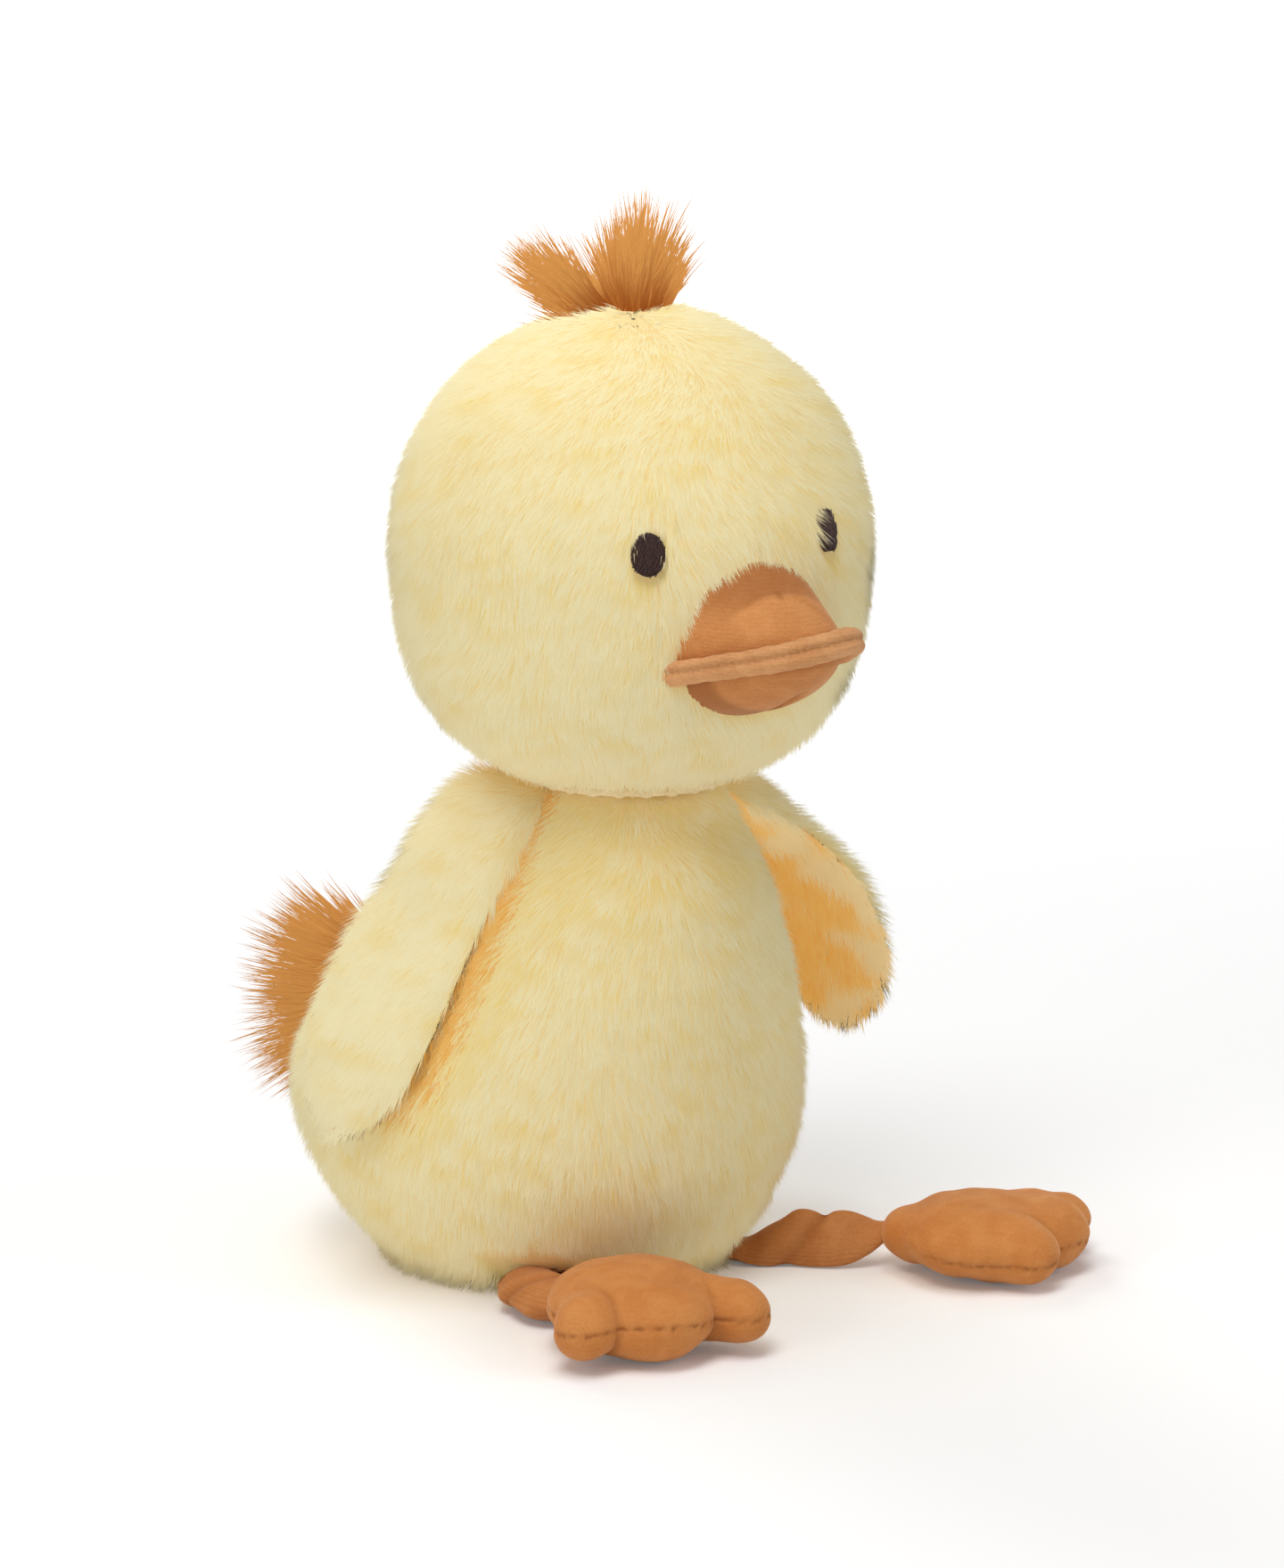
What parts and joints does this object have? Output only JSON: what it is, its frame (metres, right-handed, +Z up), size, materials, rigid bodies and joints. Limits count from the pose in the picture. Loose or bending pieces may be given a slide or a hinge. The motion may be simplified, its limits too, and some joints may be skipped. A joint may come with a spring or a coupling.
{
  "type": "plush duck",
  "caption": "Sitting plush duck in short pale yellow pile with a stuffed beak, drooping wings, limp legs, webbed feet and long-pile tufts on head and tail",
  "frame": {"origin": "middle of the flat base, on the surface that the duck sits on", "axes": "+Z up, -Y the way the body faces, +X the duck's left"},
  "size_m": [0.1819, 0.2266, 0.2803],
  "materials": {
    "pile_body": "matte",
    "pile_head": "matte",
    "pile_wing": "matte",
    "plush_beak": "matte",
    "plush_limb": "matte",
    "long_locks": "matte",
    "eye_thread": "satin",
    "seam_thread": "matte",
    "fibre": "matte",
    "pouch": "matte"
  },
  "bodies": {
    "body": {"body_cover": "pile_body", "body_filling": "fibre", "pellet_bag": "pouch", "tail_tuft": "long_locks"},
    "neck": {"neck_seam": "seam_thread"},
    "head": {"head_cover": "pile_head", "head_filling": "fibre", "head_tuft": "long_locks", "beak_upper": "plush_beak", "beak_lower": "plush_beak", "beak_rim": "plush_beak", "beak_filling": "fibre", "eye_left": "eye_thread", "eye_right": "eye_thread"},
    "wing_left_flap": {"wing_left": "pile_wing"},
    "wing_right_flap": {"wing_right": "pile_wing"},
    "leg_left_tube": {"leg_left": "plush_limb"},
    "leg_right_tube": {"leg_right": "plush_limb"},
    "foot_left_pad": {"foot_left": "plush_limb", "foot_filling_left": "fibre"},
    "foot_right_pad": {"foot_right": "plush_limb", "foot_filling_right": "fibre"}
  },
  "joints": [
    {"name": "neck_nod", "type": "hinge", "parent": "body", "child": "neck", "pos_m": [0, -0.032, 0.118], "axis": [1, 0, 0], "range_deg": [-10, 12], "stiffness_Nm_per_rad": 0.8},
    {"name": "head_turn", "type": "hinge", "parent": "neck", "child": "head", "pos_m": [0, -0.032, 0.118], "axis": [0, 0, 1], "range_deg": [-30, 30], "stiffness_Nm_per_rad": 0.1},
    {"name": "wing_left_lift", "type": "hinge", "parent": "body", "child": "wing_left_flap", "pos_m": [0.0318, -0.01784, 0.12184], "axis": [0.4695, -0.8829, 0], "range_deg": [0, 50], "stiffness_Nm_per_rad": 0.02},
    {"name": "wing_right_lift", "type": "hinge", "parent": "body", "child": "wing_right_flap", "pos_m": [-0.03063, -0.01331, 0.12239], "axis": [-0.342, 0.9397, 0], "range_deg": [0, 65], "stiffness_Nm_per_rad": 0.02},
    {"name": "leg_left_swing", "type": "hinge", "parent": "body", "child": "leg_left_tube", "pos_m": [0.03589, -0.03387, 0], "axis": [0, 0, 1], "range_deg": [-20, 25]},
    {"name": "leg_right_swing", "type": "hinge", "parent": "body", "child": "leg_right_tube", "pos_m": [-0.02781, -0.04157, 0], "axis": [0, 0, 1], "range_deg": [-30, 15]},
    {"name": "foot_left_flap", "type": "hinge", "parent": "leg_left_tube", "child": "foot_left_pad", "pos_m": [0.06179, -0.0607, 0.01025], "axis": [-0.7547, -0.6561, 0], "range_deg": [0, 55]},
    {"name": "foot_right_flap", "type": "hinge", "parent": "leg_right_tube", "child": "foot_right_pad", "pos_m": [-0.02609, -0.06335, 0.01025], "axis": [-0.9397, 0.342, 0], "range_deg": [0, 55]}
  ]
}
